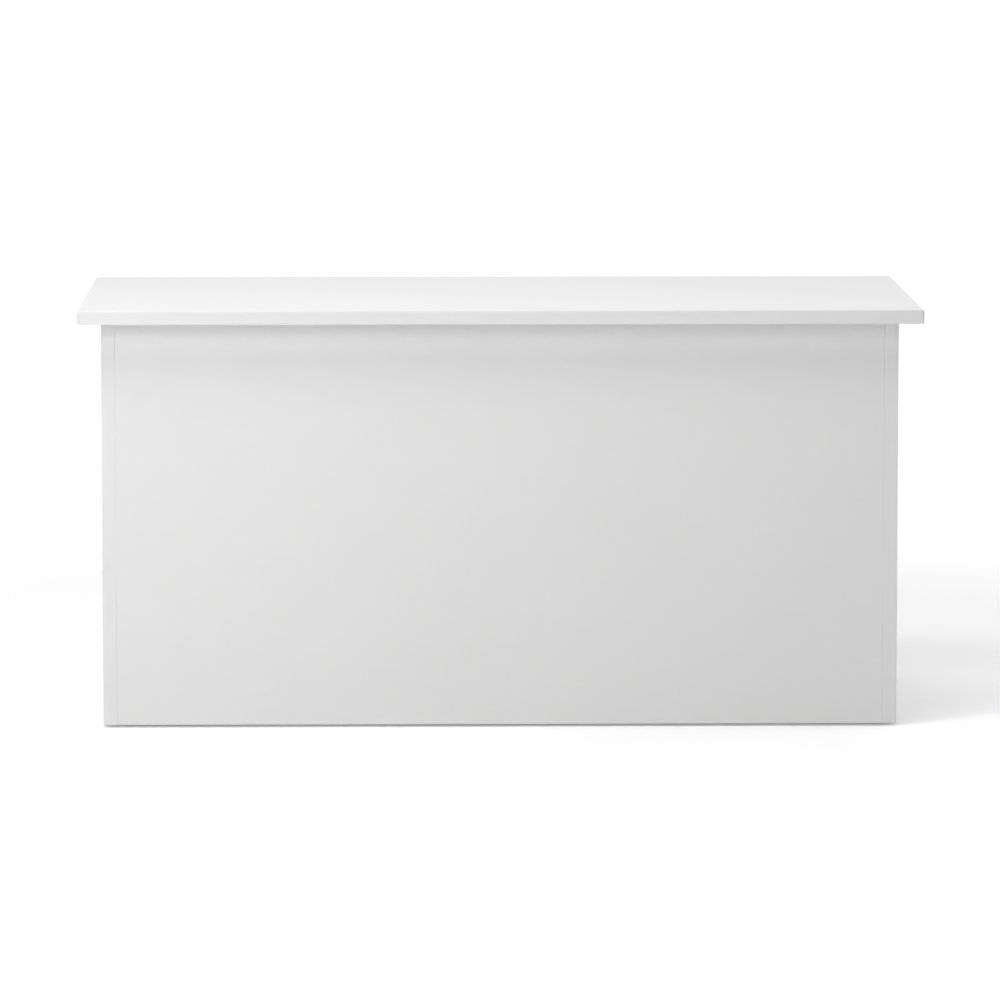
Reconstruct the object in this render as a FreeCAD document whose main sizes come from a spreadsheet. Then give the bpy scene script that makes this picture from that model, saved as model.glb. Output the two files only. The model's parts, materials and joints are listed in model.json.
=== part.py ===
import FreeCAD, Part
import math
import os
import Sketcher

# A flat-pack wooden toy box: five 15 mm boards joined with dowels and cam locks, and a loose
# lid board on two butt hinges, held open by a folding stay at each side.
# Frame: +X to the right, +Y to the back, +Z up, millimetres. The front faces -Y. The origin is
# on the floor, under the middle of the whole box, hinges included.

V = FreeCAD.Vector
X, Y, Z = V(1, 0, 0), V(0, 1, 0), V(0, 0, 1)
doc = FreeCAD.newDocument("toy_box")

# ---------------------------------------------------------------- driving dimensions

DIMENSIONS = {
    # boards
    "board": 15.0,
    "arris": 0.5,
    "panel_height": 430.0,
    "bottom_rise": 20.0,
    "lid_width": 900.0,
    "lid_depth": 450.0,
    "lid_overhang": 25.0,
    "lid_edge_radius": 2.0,
    "lid_gap": 2.0,
    "lid_opening": 100.0,
    # dowels, drilled into a face on one side and into an edge on the other
    "dowel_radius": 4.0,
    "dowel_length": 30.0,
    "dowel_in_face": 12.0,
    "dowel_chamfer": 0.8,
    "drill_ease": 0.05,
    "drill_spare": 0.5,
    # cam bolts: thread in the side board, head in the cam
    "thread_radius": 2.45,
    "thread_length": 11.0,
    "bolt_shaft_radius": 3.0,
    "bolt_shaft_end": 16.5,
    "bolt_neck_radius": 2.0,
    "bolt_neck_end": 20.5,
    "bolt_head_radius": 3.2,
    "bolt_bore_radius": 4.0,
    "bolt_bore_overrun": 1.3,
    # cam locks and their caps
    "cam_radius": 7.35,
    "cam_height": 12.0,
    "cam_hole_radius": 7.5,
    "cam_hole_depth": 12.5,
    "cam_setback": 24.0,
    "cam_cavity": 7.2,
    "cam_neck_slot": 4.4,
    "cam_slot_length": 8.0,
    "cam_slot_width": 1.4,
    "cap_pin_ease": 0.2,
    "cap_radius": 8.5,
    "cap_thickness": 1.0,
    "cap_pin_radius": 1.4,
    "cap_pin_length": 2.2,
    # places of the corner fittings, up from the panels' lower edge
    "low_dowel": 80.0,
    "low_bolt": 120.0,
    "middle_dowel": 230.0,
    "high_bolt": 340.0,
    "high_dowel": 390.0,
    # places of the bottom board's fittings
    "bottom_side_dowel": 170.0,
    "bottom_side_bolt": 120.0,
    "bottom_long_dowel": 270.0,
    # floor glides and their nails
    "glide_radius": 7.0,
    "glide_height": 3.0,
    "glide_edge_radius": 1.0,
    "glide_inset": 40.0,
    "nail_radius": 0.95,
    "nail_hole_radius": 1.0,
    "nail_length": 16.0,
    "nail_hole_depth": 14.5,
    "nail_head_radius": 2.0,
    "nail_head_height": 0.6,
    "nail_recess_radius": 2.3,
    "nail_recess_depth": 1.2,
    # soft bumpers under the lid
    "bumper_radius": 5.0,
    "bumper_height": 1.9,
    "bumper_foot": 0.5,
    "bumper_reach": 380.0,
    # butt hinges
    "hinge_reach": 260.0,
    "hinge_setback": 2.8,
    "hinge_length": 70.0,
    "knuckle_radius": 2.5,
    "knuckle_pitch": 14.0,
    "knuckle_gap": 0.2,
    "leaf_thickness": 0.9,
    "leaf_width": 13.0,
    "leaf_clearance": 0.1,
    "pin_radius": 1.5,
    "pin_overrun": 0.6,
    "running_ease": 0.05,
    "hinge_screw_pitch": 24.0,
    "hinge_screw_head": 2.8,
    "hinge_screw_shank": 1.4,
    "hinge_body_screw_length": 16.0,
    "hinge_lid_screw_length": 12.0,
    "hinge_screw_mouth_spare": 0.1,
    # folding lid stays
    "stay_arm": 150.0,
    "stay_base_forward": 50.0,
    "stay_lid_drop": 12.0,
    "strip_radius": 8.0,
    "strip_thickness": 2.0,
    "rivet_radius": 3.0,
    "rivet_head_radius": 6.0,
    "rivet_head_height": 2.0,
    "rivet_tail_height": 1.5,
    "open_pivot_ease": 0.25,
    "side_play": 0.1,
    "washer_radius": 7.0,
    "washer_thickness": 0.5,
    "side_bracket_thickness": 3.0,
    "side_bracket_radius": 11.0,
    "side_bracket_boss": 0.5,
    "side_bracket_screw_pitch": 40.0,
    "stop_start": 6.0,
    "stop_length": 6.0,
    "stop_clearance": 0.3,
    "stop_thickness": 2.0,
    "lid_foot_width": 20.0,
    "lid_foot_half_length": 20.0,
    "lid_foot_screw_pitch": 24.0,
    "lid_foot_screw_inset": 11.0,
    "lid_foot_shoulder": 3.0,
    "stay_screw_head": 3.4,
    "stay_screw_shank": 1.75,
    "stay_screw_length": 13.0,
    # shares that give every countersunk screw its point and its cross slot
    "screw_tip_share": 1.6,
    "screw_point_share": 0.125,
    "screw_slot_length_share": 1.2,
    "screw_slot_width_share": 0.24,
    "screw_slot_depth_share": 0.8,
}

dims = doc.addObject("Spreadsheet::Sheet", "dims")
for row, (alias, number) in enumerate(DIMENSIONS.items(), start=1):
    dims.set(f"A{row}", alias)
    dims.set(f"B{row}", str(number))
    dims.setAlias(f"B{row}", alias)
doc.recompute()

# Derived places, as expressions over the sheet.
HALF_WIDTH = "(dims.lid_width / 2 - dims.lid_overhang)"
INNER_HALF_WIDTH = f"({HALF_WIDTH} - dims.board)"
HALF_DEPTH = "((dims.lid_depth - dims.lid_overhang) / 2)"
INNER_HALF_DEPTH = f"({HALF_DEPTH} - dims.board)"
BACK_FACE = "((dims.lid_depth - dims.hinge_setback - dims.knuckle_radius) / 2)"
BODY_MIDDLE = f"({BACK_FACE} - {HALF_DEPTH})"
FRONT_MIDDLE = f"({BODY_MIDDLE} - {HALF_DEPTH} + dims.board / 2)"
REAR_MIDDLE = f"({BACK_FACE} - dims.board / 2)"
LID_MIDDLE = f"({BACK_FACE} - dims.lid_depth / 2)"
PANEL_TOP = "(dims.glide_height + dims.panel_height)"
LID_UNDERSIDE = f"({PANEL_TOP} + dims.lid_gap)"
BOTTOM_LEVEL = "(dims.glide_height + dims.bottom_rise)"
FITTING_REACH = f"({HALF_DEPTH} - dims.board / 2)"
CAM_REACH = f"({INNER_HALF_WIDTH} - dims.cam_setback)"
BOTTOM_FITTING_HEIGHT = "(dims.bottom_rise + dims.board / 2)"
HINGE_Y = f"({BACK_FACE} + dims.hinge_setback)"
HINGE_Z = f"({PANEL_TOP} + dims.lid_gap / 2)"
LEAF_SCREW_BACK = "(dims.hinge_setback + dims.leaf_width / 2)"

# The stay's four pivots make a rhombus with the hinge axis as one corner, so the lower arm
# stays parallel to the lid and the upper arm keeps its tilt.
STAY_BASE_DROP = "sqrt(dims.stay_arm ^ 2 - dims.stay_base_forward ^ 2)"
STAY_LID_FORWARD = "sqrt(dims.stay_arm ^ 2 - dims.stay_lid_drop ^ 2)"
STAY_BASE_Y = f"({HINGE_Y} - dims.stay_base_forward)"
STAY_BASE_Z = f"({HINGE_Z} - {STAY_BASE_DROP})"
STAY_LID_Y = f"({HINGE_Y} - {STAY_LID_FORWARD})"
STAY_LID_Z = f"({HINGE_Z} - dims.stay_lid_drop)"
STAY_ELBOW_Y = f"({STAY_BASE_Y} - {STAY_LID_FORWARD})"
STAY_ELBOW_Z = f"({STAY_BASE_Z} - dims.stay_lid_drop)"
LOWER_ARM_ANGLE = "(180 deg + asin(dims.stay_lid_drop / dims.stay_arm))"
UPPER_ARM_ANGLE = "acos(dims.stay_base_forward / dims.stay_arm)"
ELBOW_OPEN_ANGLE = f"({UPPER_ARM_ANGLE} + 180 deg - {LOWER_ARM_ANGLE} + dims.lid_opening * 1 deg)"

# The right stay's layers, from the side board's inner face towards the middle of the box.
BOSS_FACE = f"({INNER_HALF_WIDTH} - dims.side_bracket_thickness - dims.side_bracket_boss)"
LOWER_ARM_OUTER = f"({BOSS_FACE} - dims.washer_thickness - dims.side_play)"
LOWER_ARM_INNER = f"({LOWER_ARM_OUTER} - dims.strip_thickness)"
UPPER_ARM_OUTER = f"({LOWER_ARM_INNER} - dims.washer_thickness - dims.side_play)"
UPPER_ARM_INNER = f"({UPPER_ARM_OUTER} - dims.strip_thickness)"
LEG_OUTER = f"({UPPER_ARM_INNER} - dims.side_play - dims.washer_thickness)"
LEG_INNER = f"({LEG_OUTER} - dims.strip_thickness)"

# ---------------------------------------------------------------- helpers

subparts = []
LEAST_SHARE = 0.35  # of a hole's own volume, since some holes run into others or through gaps
START_ANGLE = 45  # holds a turn's axis, or a dome's range, until the sheet's angle replaces it
NEAR_ZERO = 0.01


def value(expression):
    """The number that an expression over the sheet gives."""
    return float(dims.evalExpression(expression))


def bind(item, **expressions):
    """Bind an object's properties to expressions over the sheet."""
    for name, expression in expressions.items():
        item.setExpression(name, expression)
    return item


def place(item, x="0", y="0", z="0", turn=None, angle=None):
    """Place an object: a fixed turn, or an angle about its axis X bound to the sheet."""
    if turn is not None:
        item.Placement = FreeCAD.Placement(V(0, 0, 0), turn)
    if angle is not None:
        item.Placement = FreeCAD.Placement(V(0, 0, 0), FreeCAD.Rotation(X, START_ANGLE))
        item.setExpression("Placement.Rotation.Angle", angle)
    item.setExpression("Placement.Base.x", x)
    item.setExpression("Placement.Base.y", y)
    item.setExpression("Placement.Base.z", z)
    return item


def facing(z_axis, x_axis):
    """The turn that carries a piece's own Z and X axes to two given directions."""
    return FreeCAD.Rotation(x_axis, V(0, 0, 0), z_axis, "ZXY")


def keep(item, name):
    """Name a finished sub-part, which is written to its own file."""
    item.Label = name
    subparts.append(item)
    return item


def new_body(name):
    return doc.addObject("PartDesign::Body", name + "_body")


def origin_plane(body, role):
    return next(item for item in body.Origin.OriginFeatures if item.Role == role)


def new_sketch(body, name, role, level="0"):
    """A sketch on a plane parallel to one of the body's origin planes."""
    sketch = body.newObject("Sketcher::SketchObject", name)
    sketch.AttachmentSupport = [(origin_plane(body, role), "")]
    sketch.MapMode = "FlatFace"
    sketch.setExpression("AttachmentOffset.Base.z", level)
    return sketch


def dimension(sketch, name, expression, kind, *picks):
    """A driving dimension in a sketch, bound to the sheet."""
    number = value(expression)
    index = sketch.addConstraint(Sketcher.Constraint(kind, *picks, number))
    sketch.renameConstraint(index, name)
    sketch.setExpression(f"Constraints.{name}", expression)


def rectangle(sketch, left, right, low, high):
    """Four lines, each side at its own dimension from the sketch's origin."""
    x0, x1, y0, y1 = value(left), value(right), value(low), value(high)
    corners = [V(x0, y0, 0), V(x1, y0, 0), V(x1, y1, 0), V(x0, y1, 0)]
    for i in range(4):
        sketch.addGeometry(Part.LineSegment(corners[i], corners[(i + 1) % 4]), False)
    for i in range(4):
        sketch.addConstraint(Sketcher.Constraint("Coincident", i, 2, (i + 1) % 4, 1))
    for i in (0, 2):
        sketch.addConstraint(Sketcher.Constraint("Horizontal", i))
    for i in (1, 3):
        sketch.addConstraint(Sketcher.Constraint("Vertical", i))
    dimension(sketch, "left", left, "DistanceX", -1, 1, 0, 1)
    dimension(sketch, "right", right, "DistanceX", -1, 1, 1, 2)
    dimension(sketch, "low", low, "DistanceY", -1, 1, 0, 1)
    dimension(sketch, "high", high, "DistanceY", -1, 1, 2, 2)


def strip_outline(sketch, length, radius):
    """A strip with round ends about two pivots: the origin and a point along the sketch's X."""
    reach, half = value(length), value(radius)
    quarter = math.pi / 2
    near_circle = Part.Circle(V(0, 0, 0), Z, half)
    far_circle = Part.Circle(V(reach, 0, 0), Z, half)
    near = sketch.addGeometry(Part.ArcOfCircle(near_circle, quarter, 3 * quarter), False)
    far = sketch.addGeometry(Part.ArcOfCircle(far_circle, -quarter, quarter), False)
    upper = sketch.addGeometry(Part.LineSegment(V(0, half, 0), V(reach, half, 0)), False)
    lower = sketch.addGeometry(Part.LineSegment(V(0, -half, 0), V(reach, -half, 0)), False)
    sketch.addConstraint(Sketcher.Constraint("Tangent", near, 1, upper, 1))
    sketch.addConstraint(Sketcher.Constraint("Tangent", near, 2, lower, 1))
    sketch.addConstraint(Sketcher.Constraint("Tangent", far, 1, lower, 2))
    sketch.addConstraint(Sketcher.Constraint("Tangent", far, 2, upper, 2))
    sketch.addConstraint(Sketcher.Constraint("Coincident", near, 3, -1, 1))
    sketch.addConstraint(Sketcher.Constraint("PointOnObject", far, 3, -1))
    dimension(sketch, "length", length, "DistanceX", near, 3, far, 3)
    dimension(sketch, "half_width", radius, "Radius", near)


def pad(body, sketch, name, length, midplane=False, reverse=False):
    feature = body.newObject("PartDesign::Pad", name)
    feature.Profile = sketch
    feature.Midplane = midplane
    feature.Reversed = reverse
    bind(feature, Length=length)
    doc.recompute()
    return feature


def soften(body, feature, name, radius, edges=None):
    """Round some edges of a feature, or else all of them."""
    fillet = body.newObject("PartDesign::Fillet", name)
    fillet.Base = (feature, edges or ["Edge1"])
    fillet.UseAllEdges = edges is None
    bind(fillet, Radius=radius)
    doc.recompute()
    return fillet


def edges_where(feature, wanted):
    """The names of a feature's edges whose bounding box passes a test."""
    return [f"Edge{index}" for index, edge in enumerate(feature.Shape.Edges, start=1)
            if wanted(edge.BoundBox)]


def drill(body, name, role, level, centres, radius, depth, reverse=False, mirror=None):
    """Round holes of one size, pocketed from a plane, and mirrored to the other end if asked."""
    before = body.Shape.Volume
    sketch = new_sketch(body, name + "_sketch", role, level)
    for index, (across, up) in enumerate(centres):
        circle = Part.Circle(V(value(across), value(up), 0), Z, value(radius))
        hole = sketch.addGeometry(circle, False)
        dimension(sketch, f"across_{index}", across, "DistanceX", -1, 1, hole, 3)
        dimension(sketch, f"up_{index}", up, "DistanceY", -1, 1, hole, 3)
        dimension(sketch, f"radius_{index}", radius, "Radius", hole)
    pocket = body.newObject("PartDesign::Pocket", name)
    pocket.Profile = sketch
    pocket.Reversed = reverse
    bind(pocket, Length=depth)
    holes = len(centres)
    if mirror is not None:
        mirrored = body.newObject("PartDesign::Mirrored", name + "_mirrored")
        mirrored.Originals = [pocket]
        mirrored.MirrorPlane = (origin_plane(body, mirror), [""])
        body.Tip = mirrored
        holes *= 2
    doc.recompute()
    removed = before - body.Shape.Volume
    nominal = holes * math.pi * value(radius) ** 2 * value(depth)
    if removed < LEAST_SHARE * nominal:
        raise RuntimeError(f"{name} removed {removed:.1f} of {nominal:.1f} cubic mm")


def cylinder(name, radius, height, **places):
    item = bind(doc.addObject("Part::Cylinder", name), Radius=radius, Height=height)
    return place(item, **places)


def cone(name, low_radius, high_radius, height, **places):
    item = doc.addObject("Part::Cone", name)
    bind(item, Radius1=low_radius, Radius2=high_radius, Height=height)
    return place(item, **places)


def block(name, length, width, height, **places):
    item = doc.addObject("Part::Box", name)
    bind(item, Length=length, Width=width, Height=height)
    return place(item, **places)


def dome(name, radius, height, z="0", flip=False):
    """A shallow dome: the cap of a sphere on a round base at the level z."""
    ball = f"(({radius}) ^ 2 + ({height}) ^ 2) / (2 * ({height}))"
    item = doc.addObject("Part::Sphere", name)
    item.Angle1 = START_ANGLE
    bind(item, Radius=ball, Angle1=f"asin(1 - ({height}) / ({ball}))")
    if flip:
        return place(item, z=f"{z} + {ball} - ({height})", turn=FreeCAD.Rotation(X, 180))
    return place(item, z=f"{z} - ({ball} - ({height}))")


def cross(name, length, width, height, z):
    """Two crossed blocks about the Z axis, to cut a driver's slots."""
    arms = ((length, width), (width, length))
    return [block(f"{name}_{i}", along, across, height, x=f"-{along} / 2", y=f"-{across} / 2",
                  z=z)
            for i, (along, across) in enumerate(arms)]


def fuse(name, *items):
    joined = doc.addObject("Part::MultiFuse", name)
    joined.Shapes = list(items)
    joined.Refine = True
    return joined


def cut(name, base, tool):
    result = doc.addObject("Part::Cut", name)
    result.Base = base
    result.Tool = tool
    return result


def copies(name, original, places):
    """One node of identical pieces, each a link to the same original."""
    links = []
    for index, (x, y, z, turn) in enumerate(places):
        link = doc.addObject("App::Link", f"{name}_{index}")
        link.LinkedObject = original
        links.append(place(link, x=x, y=y, z=z, turn=turn))
    group = doc.addObject("Part::Compound", name + "_group")
    group.Links = links
    return keep(group, name)


def mirrored_copy(name, original):
    """The left-hand piece: its right-hand twin mirrored about the middle of the box."""
    twin = doc.addObject("Part::Mirroring", name + "_twin")
    twin.Source = original
    twin.Base = V(0, 0, 0)
    twin.Normal = X
    return keep(twin, name)


def both_signs(expression):
    return expression, f"-{expression}"


# ---------------------------------------------------------------- boards

CORNER_DOWEL_HEIGHTS = ("dims.low_dowel", "dims.middle_dowel", "dims.high_dowel")
CORNER_BOLT_HEIGHTS = ("dims.low_bolt", "dims.high_bolt")
BOTTOM_SIDE_DOWELS = ("0", "dims.bottom_side_dowel", "-dims.bottom_side_dowel")
BOTTOM_LONG_DOWELS = ("0", "dims.bottom_long_dowel", "-dims.bottom_long_dowel")
LEAF_SCREWS = ("-dims.hinge_screw_pitch", "0", "dims.hinge_screw_pitch")

DOWEL_HOLE = "dims.dowel_radius + dims.drill_ease"
FACE_HOLE_DEPTH = "dims.dowel_in_face + dims.drill_spare"
EDGE_HOLE_DEPTH = "dims.dowel_length - dims.dowel_in_face + dims.drill_spare"
THREAD_HOLE = "dims.thread_radius + dims.drill_ease"
THREAD_HOLE_DEPTH = "dims.thread_length + dims.drill_spare"
BORE_DEPTH = "dims.cam_setback - dims.cam_hole_radius + dims.bolt_bore_overrun"


def make_right_side_panel():
    """The right side board, seen end on from the front; its inner face looks to -X."""
    body = new_body("right_side_panel")
    outline = new_sketch(body, "side_outline", "YZ_Plane")
    rectangle(outline, f"-{HALF_DEPTH}", HALF_DEPTH, "0", "dims.panel_height")
    board = pad(body, outline, "side_board", "dims.board", midplane=True)
    soften(body, board, "side_arris", "dims.arris")
    inner = "-dims.board / 2"
    dowels = [(y, z) for y in both_signs(FITTING_REACH) for z in CORNER_DOWEL_HEIGHTS]
    dowels += [(y, BOTTOM_FITTING_HEIGHT) for y in BOTTOM_SIDE_DOWELS]
    bolts = [(y, z) for y in both_signs(FITTING_REACH) for z in CORNER_BOLT_HEIGHTS]
    bolts += [(y, BOTTOM_FITTING_HEIGHT) for y in both_signs("dims.bottom_side_bolt")]
    stay_y = f"({STAY_BASE_Y} - {BODY_MIDDLE})"
    stay_z = f"({STAY_BASE_Z} - dims.glide_height)"
    half_pitch = "dims.side_bracket_screw_pitch / 2"
    screws = [(stay_y, f"{stay_z} + {half_pitch}"), (stay_y, f"{stay_z} - {half_pitch}")]
    screw_depth = "dims.stay_screw_length - dims.side_bracket_thickness + dims.drill_spare"
    screw_hole = "dims.stay_screw_shank + dims.drill_ease"
    nails = [("0", y) for y in both_signs(f"({HALF_DEPTH} - dims.glide_inset)")]
    drill(body, "side_dowel_holes", "YZ_Plane", inner, dowels, DOWEL_HOLE, FACE_HOLE_DEPTH, True)
    drill(body, "side_bolt_holes", "YZ_Plane", inner, bolts, THREAD_HOLE, THREAD_HOLE_DEPTH, True)
    drill(body, "side_stay_holes", "YZ_Plane", inner, screws, screw_hole, screw_depth, True)
    drill(body, "side_nail_holes", "XY_Plane", "0", nails, "dims.nail_hole_radius",
          "dims.nail_hole_depth", True)
    place(body, f"({HALF_WIDTH} - dims.board / 2)", BODY_MIDDLE, "dims.glide_height")
    return keep(body, "right_side_panel")


def make_long_panel(name, y, inner_is_back):
    """The front or back board, between the side boards, with its fittings on its inner face."""
    body = new_body(name)
    outline = new_sketch(body, name + "_outline", "XZ_Plane")
    rectangle(outline, f"-{INNER_HALF_WIDTH}", INNER_HALF_WIDTH, "0", "dims.panel_height")
    board = pad(body, outline, name + "_board", "dims.board", midplane=True)
    soften(body, board, name + "_arris", "dims.arris")
    inner = "-dims.board / 2" if inner_is_back else "dims.board / 2"
    ends = [("0", z) for z in CORNER_DOWEL_HEIGHTS]
    bores = [("0", z) for z in CORNER_BOLT_HEIGHTS]
    cams = [(x, z) for x in both_signs(CAM_REACH) for z in CORNER_BOLT_HEIGHTS]
    shelf = [(x, BOTTOM_FITTING_HEIGHT) for x in BOTTOM_LONG_DOWELS]
    drill(body, name + "_cam_holes", "XZ_Plane", inner, cams, "dims.cam_hole_radius",
          "dims.cam_hole_depth", inner_is_back)
    drill(body, name + "_end_holes", "YZ_Plane", INNER_HALF_WIDTH, ends, DOWEL_HOLE,
          EDGE_HOLE_DEPTH, mirror="YZ_Plane")
    drill(body, name + "_bolt_bores", "YZ_Plane", INNER_HALF_WIDTH, bores,
          "dims.bolt_bore_radius", BORE_DEPTH, mirror="YZ_Plane")
    drill(body, name + "_shelf_holes", "XZ_Plane", inner, shelf, DOWEL_HOLE, FACE_HOLE_DEPTH,
          inner_is_back)
    if not inner_is_back:
        drill_leaf_holes(body, name, "dims.panel_height", f"({HINGE_Y} - {REAR_MIDDLE})",
                         "dims.hinge_body_screw_length", False)
    place(body, "0", y, "dims.glide_height")
    return keep(body, name)


def drill_leaf_holes(body, name, level, hinge_y, length, upwards):
    """Pilot holes for both hinges' screws, each with a wider mouth for the head's cone."""
    centres = [(f"{side} + {x}", f"{hinge_y} - {LEAF_SCREW_BACK}")
               for side in both_signs("dims.hinge_reach") for x in LEAF_SCREWS]
    pilot = "dims.hinge_screw_shank + dims.drill_ease"
    mouth = "dims.hinge_screw_head - dims.leaf_thickness + dims.drill_ease"
    mouth_depth = ("dims.hinge_screw_head - dims.hinge_screw_shank - dims.leaf_thickness"
                   " + dims.hinge_screw_mouth_spare")
    depth = f"{length} - dims.leaf_thickness + dims.drill_spare"
    drill(body, name + "_leaf_mouths", "XY_Plane", level, centres, mouth, mouth_depth, upwards)
    drill(body, name + "_leaf_pilots", "XY_Plane", level, centres, pilot, depth, upwards)


def make_bottom_panel():
    body = new_body("bottom_panel")
    outline = new_sketch(body, "bottom_outline", "XY_Plane")
    rectangle(outline, f"-{INNER_HALF_WIDTH}", INNER_HALF_WIDTH,
              f"-{INNER_HALF_DEPTH}", INNER_HALF_DEPTH)
    board = pad(body, outline, "bottom_board", "dims.board")
    soften(body, board, "bottom_arris", "dims.arris")
    middle = "dims.board / 2"
    cams = [(x, y) for x in both_signs(CAM_REACH) for y in both_signs("dims.bottom_side_bolt")]
    ends = [(y, middle) for y in BOTTOM_SIDE_DOWELS]
    bores = [(y, middle) for y in both_signs("dims.bottom_side_bolt")]
    long_edges = [(x, middle) for x in BOTTOM_LONG_DOWELS]
    drill(body, "bottom_cam_holes", "XY_Plane", "0", cams, "dims.cam_hole_radius",
          "dims.cam_hole_depth", True)
    drill(body, "bottom_end_holes", "YZ_Plane", INNER_HALF_WIDTH, ends, DOWEL_HOLE,
          EDGE_HOLE_DEPTH, mirror="YZ_Plane")
    drill(body, "bottom_bores", "YZ_Plane", INNER_HALF_WIDTH, bores, "dims.bolt_bore_radius",
          BORE_DEPTH, mirror="YZ_Plane")
    drill(body, "bottom_long_holes", "XZ_Plane", INNER_HALF_DEPTH, long_edges, DOWEL_HOLE,
          EDGE_HOLE_DEPTH, mirror="XZ_Plane")
    place(body, "0", BODY_MIDDLE, BOTTOM_LEVEL)
    return keep(body, "bottom_panel")


def make_lid_panel():
    body = new_body("lid_panel")
    outline = new_sketch(body, "lid_outline", "XY_Plane")
    rectangle(outline, "-dims.lid_width / 2", "dims.lid_width / 2",
              "-dims.lid_depth / 2", "dims.lid_depth / 2")
    board = pad(body, outline, "lid_board", "dims.board")
    upper = edges_where(board, lambda box: box.ZMax > NEAR_ZERO)
    rounded = soften(body, board, "lid_upper_edges", "dims.lid_edge_radius", upper)
    lower = edges_where(rounded, lambda box: box.ZMax < NEAR_ZERO)
    soften(body, rounded, "lid_lower_arris", "dims.arris", lower)
    drill_leaf_holes(body, "lid", "0", f"({HINGE_Y} - {LID_MIDDLE})",
                     "dims.hinge_lid_screw_length", True)
    foot_x = f"({LEG_INNER} - dims.lid_foot_screw_inset)"
    foot_y = f"({STAY_LID_Y} - {LID_MIDDLE})"
    half_pitch = "dims.lid_foot_screw_pitch / 2"
    screws = [(x, f"{foot_y} {sign} {half_pitch}") for x in both_signs(foot_x) for sign in "+-"]
    depth = "dims.stay_screw_length - dims.strip_thickness + dims.drill_spare"
    drill(body, "lid_stay_holes", "XY_Plane", "0", screws,
          "dims.stay_screw_shank + dims.drill_ease", depth, True)
    place(body, "0", LID_MIDDLE, LID_UNDERSIDE)
    return keep(body, "lid_panel")


right_side_panel = make_right_side_panel()
mirrored_copy("left_side_panel", right_side_panel)
make_long_panel("front_panel", FRONT_MIDDLE, True)
make_long_panel("back_panel", REAR_MIDDLE, False)
make_bottom_panel()
make_lid_panel()

# ---------------------------------------------------------------- joinery fittings

SIDES = ((1, INNER_HALF_WIDTH, X), (-1, f"-{INNER_HALF_WIDTH}", -X))


def make_dowel():
    """A dowel along its own Z, its deep end up, with a small chamfer at each end."""
    chamfer = "dims.dowel_chamfer"
    waist = f"dims.dowel_radius - {chamfer}"
    shank = cylinder("dowel_shank", "dims.dowel_radius", f"dims.dowel_length - 2 * {chamfer}",
                     z=f"-dims.dowel_in_face + {chamfer}")
    face_end = cone("dowel_face_end", waist, "dims.dowel_radius", chamfer,
                    z="-dims.dowel_in_face")
    deep_end = cone("dowel_deep_end", "dims.dowel_radius", waist, chamfer,
                    z=f"dims.dowel_length - dims.dowel_in_face - {chamfer}")
    return fuse("dowel", shank, face_end, deep_end)


def make_cam_bolt():
    """A cam bolt along its own Z: thread below zero, head at the cam's centre."""
    thread = cylinder("bolt_thread", "dims.thread_radius", "dims.thread_length",
                      z="-dims.thread_length")
    shaft = cylinder("bolt_shaft", "dims.bolt_shaft_radius", "dims.bolt_shaft_end")
    neck = cylinder("bolt_neck", "dims.bolt_neck_radius",
                    "dims.bolt_neck_end - dims.bolt_shaft_end", z="dims.bolt_shaft_end")
    head = cylinder("bolt_head", "dims.bolt_head_radius",
                    "dims.cam_setback - dims.bolt_neck_end", z="dims.bolt_neck_end")
    return fuse("cam_bolt", thread, shaft, neck, head)


def make_cam_lock():
    """A cam on its hole's floor, opening to +X for the bolt, with a cross slot on its face."""
    centre = "(dims.cam_hole_depth - dims.board / 2)"
    drum = cylinder("cam_drum", "dims.cam_radius", "dims.cam_height")
    cavity = block("cam_cavity_cut", "dims.cam_cavity", "dims.cam_cavity", "dims.cam_cavity",
                   x="-dims.cam_cavity / 2", y="-dims.cam_cavity / 2",
                   z=f"{centre} - dims.cam_cavity / 2")
    mouth = block("cam_mouth_cut", "dims.cam_radius", "dims.cam_neck_slot", "dims.cam_neck_slot",
                  y="-dims.cam_neck_slot / 2", z=f"{centre} - dims.cam_neck_slot / 2")
    socket_depth = "dims.cap_pin_length"
    socket = cylinder("cam_socket", "dims.cap_pin_radius + dims.cap_pin_ease", socket_depth,
                      z=f"dims.cam_height - {socket_depth}")
    slots = cross("cam_slot", "dims.cam_slot_length", "dims.cam_slot_width", socket_depth,
                  f"dims.cam_height - {socket_depth}")
    return cut("cam_lock", drum, fuse("cam_cuts", cavity, mouth, socket, *slots))


def make_cam_cap():
    """A thin disc on the board's face, with a pin that reaches into the cam's socket."""
    rim = "dims.cap_thickness / 2"
    disc = cylinder("cap_disc", "dims.cap_radius", rim)
    bevel = cone("cap_bevel", "dims.cap_radius", f"dims.cap_radius - {rim}", rim, z=rim)
    pin = cylinder("cap_pin", "dims.cap_pin_radius", "dims.cap_pin_length",
                   z="-dims.cap_pin_length")
    return fuse("cam_cap", disc, bevel, pin)


def corner_places(y, heights):
    """Places on both side boards' inner faces, facing the middle of the box."""
    return [(x, y, f"dims.glide_height + {z}", facing(-outwards, Y))
            for _, x, outwards in SIDES for z in heights]


def cam_places(y_face, inwards, depth):
    """Places on a long board's inner face, each with its own X towards the nearer end."""
    sign = "-" if inwards.y > 0 else "+"
    return [(f"{side} * {CAM_REACH}", f"{y_face} {sign} {depth}", f"dims.glide_height + {z}",
             facing(inwards, outwards))
            for side, _, outwards in SIDES for z in CORNER_BOLT_HEIGHTS]


dowel = make_dowel()
cam_bolt = make_cam_bolt()
cam_lock = make_cam_lock()
cam_cap = make_cam_cap()

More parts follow.
